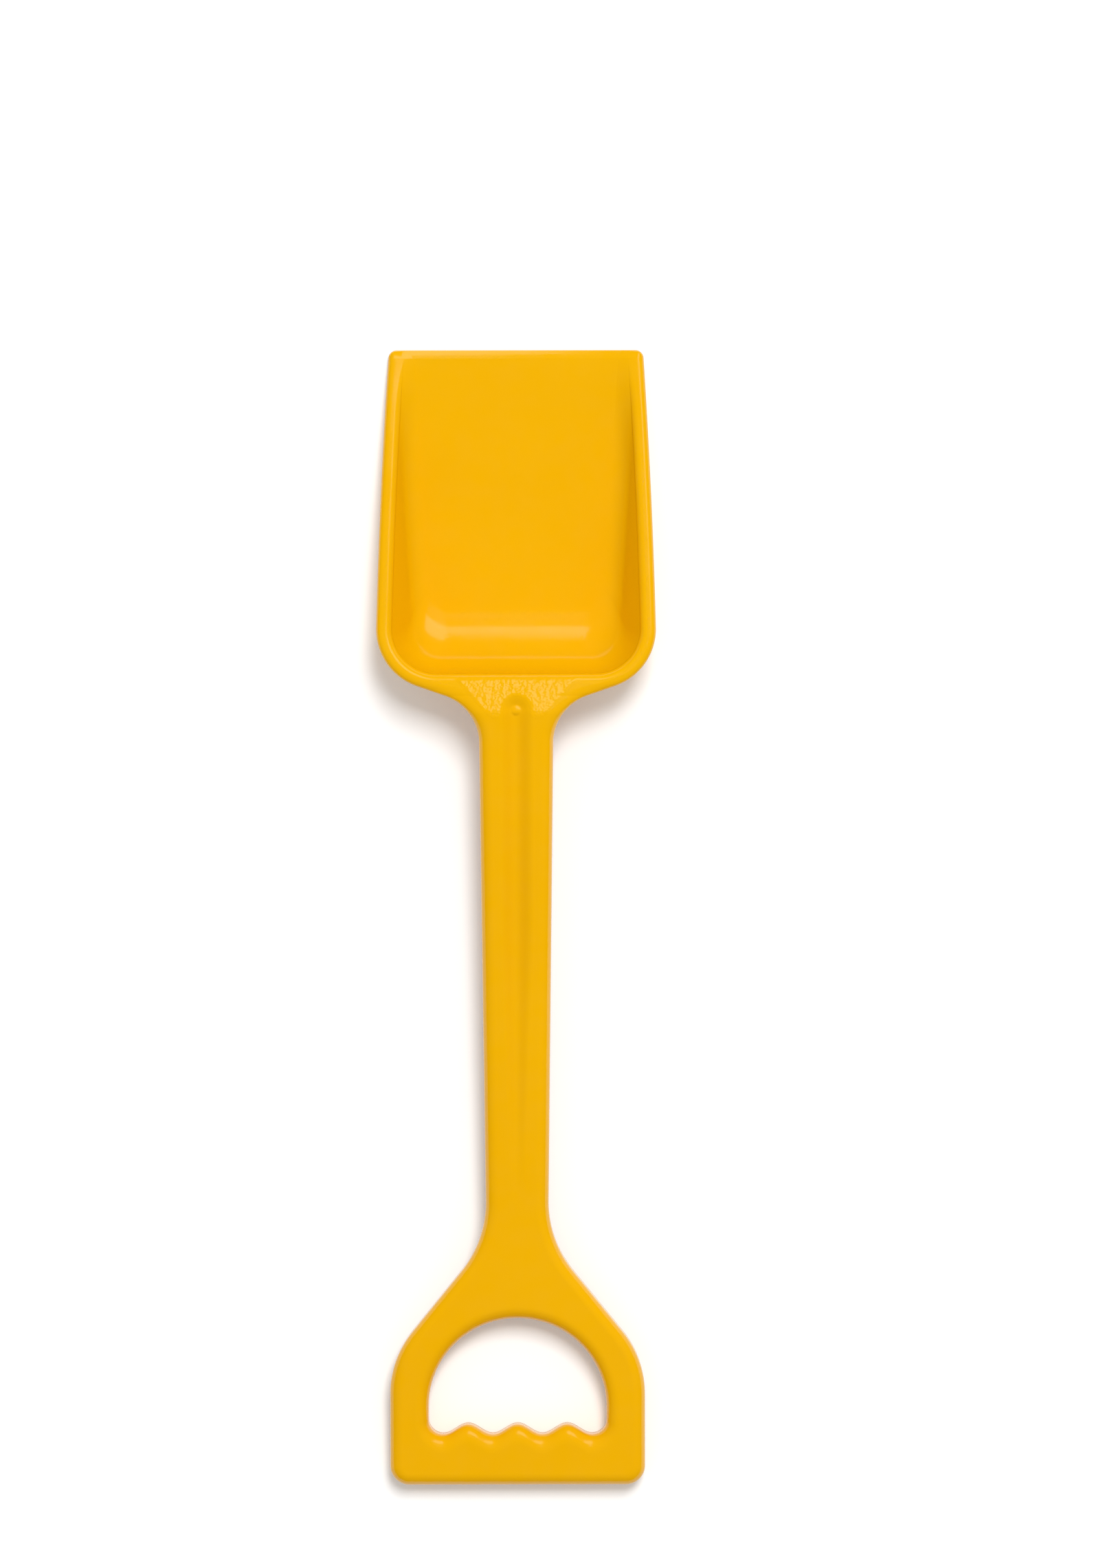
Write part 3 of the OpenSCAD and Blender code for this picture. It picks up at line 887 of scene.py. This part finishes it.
def make_sky():
    """Even light from all round, which shows no gloss."""
    world = bpy.data.worlds.new("studio")
    bpy.context.scene.world = world
    world.use_nodes = True
    tree = world.node_tree
    sky = tree.nodes["Background"].inputs
    glossy = node(tree, "ShaderNodeLightPath").outputs["Is Glossy Ray"]
    tree.links.new(between(tree, glossy, 0.0, 1.0, sky_strength, 0.0), sky["Strength"])
    sky["Color"].default_value = white


def make_lights():
    """Sky, a soft key from beyond the lip and the softbox that shows as gloss."""
    make_sky()
    softbox("key", place=(0.9, 2.58, 5.82), size=(1.89, 2.46), power=284.0, glossy=False)
    softbox("softbox", place=(0.69, 1.94, 2.23), size=(1.57, 1.17), power=11.0, glossy=True)


# Camera: the frame and scale of the photograph, and where the shovel's middle lies in it

FRAME_PX = (1624, 2281)
MM_PER_PX = 0.24875
axis_px = (751.5, 1334)
eye_height = 2.0
sensor_w = 36.0
roll = math.radians(-0.1)


def make_camera():
    """Looks straight down, with the lip of the pan up in the picture."""
    data = bpy.data.cameras.new("camera")
    data.sensor_width = sensor_w
    data.lens = sensor_w * eye_height / (FRAME_PX[1] * MM_PER_PX * MM)
    camera = bpy.data.objects.new("camera", data)
    x = (FRAME_PX[0] / 2 - axis_px[0]) * MM_PER_PX * MM
    y = (axis_px[1] - FRAME_PX[1] / 2) * MM_PER_PX * MM
    camera.location = (x, y, eye_height + rim_h / 2 * MM)
    camera.rotation_euler = (0, 0, roll)
    bpy.context.scene.collection.objects.link(camera)
    bpy.context.scene.camera = camera


# Build

make_camera()
make_floor()
make_lights()
bpy.context.scene.view_settings.view_transform = "Standard"

plastic = yellow_moulding()
flute, rib_row = flute_tree(), rib_tree()
pan, neck, stem, yoke, grip = make_pan(), make_neck(), make_stem(), make_yoke(), make_grip()
for piece in (neck, stem):
    apply_tree(piece, flute, flute_sizes(plastic))
apply_tree(stem, rib_row, stem_rib_sizes(plastic))
apply_tree(grip, rib_row, grip_rib_sizes(plastic))

pieces = {"scoop_pan": pan, "neck": neck, "stem": stem, "handle_yoke": yoke, "finger_grip": grip}
for cad_node, piece in pieces.items():
    made_plain(piece)
    piece.data.materials.clear()
    piece.data.materials.append(plastic)
    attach(piece, "root")
    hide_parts(cad_node)
